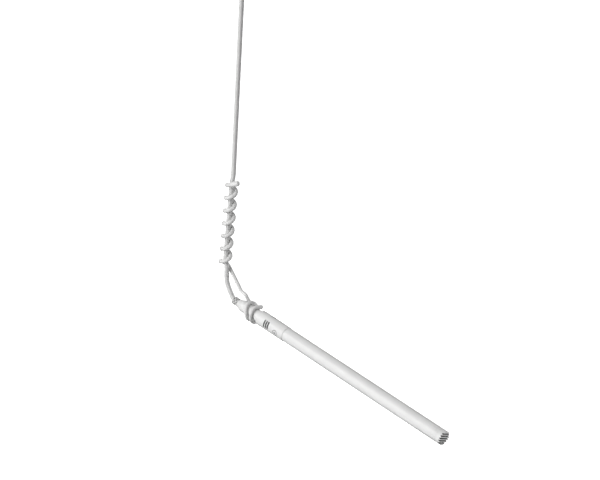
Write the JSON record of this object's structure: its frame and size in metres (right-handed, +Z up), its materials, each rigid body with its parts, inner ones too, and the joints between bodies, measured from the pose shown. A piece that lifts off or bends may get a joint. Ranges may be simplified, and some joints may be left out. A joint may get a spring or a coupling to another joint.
{
  "type": "hanging condenser microphone",
  "caption": "Slim white line microphone hung by its own cable from a small ceiling fitting, held level by a bent coated-wire hanger wound round cable and neck.",
  "frame": {"origin": "centre of the ceiling plate's mounting face", "axes": "+Z up, out of the mounting face towards the ceiling; the microphone points along +X and 6.6 degrees below level; +Y across"},
  "size_m": [0.2667, 0.05, 0.3453],
  "materials": {
    "white_paint": "fine satin white paint on turned metal",
    "grille_paint": "satin white paint, slotted cap",
    "wire_coat": "smooth white plastic dip coat on steel wire",
    "cable_jacket": "satin white PVC jacket",
    "boot_rubber": "matt white rubber",
    "fitting_enamel": "white enamel",
    "gland_nylon": "moulded white nylon",
    "seal_rubber": "black rubber",
    "crimp_brass": "plated brass",
    "lead_copper": "insulated leads",
    "circuit_board": "green solder mask",
    "black_chip": "moulded black package",
    "capacitor_yellow": "moulded tantalum",
    "insulator": "moulded insulator",
    "steel_mesh": "dark woven mesh",
    "capsule_metal": "satin aluminium",
    "backplate_brass": "plated brass",
    "film": "metallised film",
    "felt": "black acoustic cloth",
    "foam": "open-cell foam"
  },
  "bodies": {
    "root": {"ceiling_plate": "fitting_enamel", "gland_body": "gland_nylon", "gland_seal": "seal_rubber", "gland_nut": "gland_nylon"},
    "hanging": {"cable_upper": "cable_jacket", "cable_stop": "crimp_brass", "hanger_coil": "wire_coat", "coil_end_cap": "wire_coat"},
    "hanger_loop": {"hanger_arm": "wire_coat", "hanger_neck_loops": "wire_coat", "loop_end_cap": "wire_coat", "cable_lower": "cable_jacket"},
    "mic": {"strain_relief": "boot_rubber", "rear_housing": "white_paint", "cable_ferrule": "crimp_brass", "cable_leads": "lead_copper", "preamp_board": "circuit_board", "fet_transistor": "black_chip", "board_capacitors": "capacitor_yellow", "board_resistors": "black_chip", "insulator_disc": "insulator", "port_housing": "white_paint", "port_mesh": "steel_mesh", "capsule_case": "capsule_metal", "capsule_gasket": "seal_rubber", "capsule_board": "circuit_board", "backplate": "backplate_brass", "insulator_cup": "insulator", "spacer_ring": "insulator", "diaphragm": "film", "diaphragm_ring": "backplate_brass", "capsule_leads": "lead_copper", "tube_seal": "seal_rubber", "interference_tube": "white_paint", "damping_liner": "felt", "grille_cap": "grille_paint", "front_mesh": "steel_mesh", "mesh_retainer": "capsule_metal", "front_foam": "foam"}
  },
  "joints": [
    {"name": "pan", "type": "hinge", "parent": "root", "child": "hanging", "pos_m": [0, 0, 0], "axis": [0, 0, 1], "range_deg": [-180, 180]},
    {"name": "aim", "type": "hinge", "parent": "hanging", "child": "hanger_loop", "pos_m": [-0.004, 0, -0.2852], "axis": [0, 1, 0], "range_deg": [-25, 40], "deforming": ["hanger_arm", "cable_lower"]},
    {"name": "mic_roll", "type": "hinge", "parent": "hanger_loop", "child": "mic", "pos_m": [0.0066, 0, -0.3122], "axis": [0.9934, 0, -0.1149], "range_deg": [-90, 90]}
  ]
}
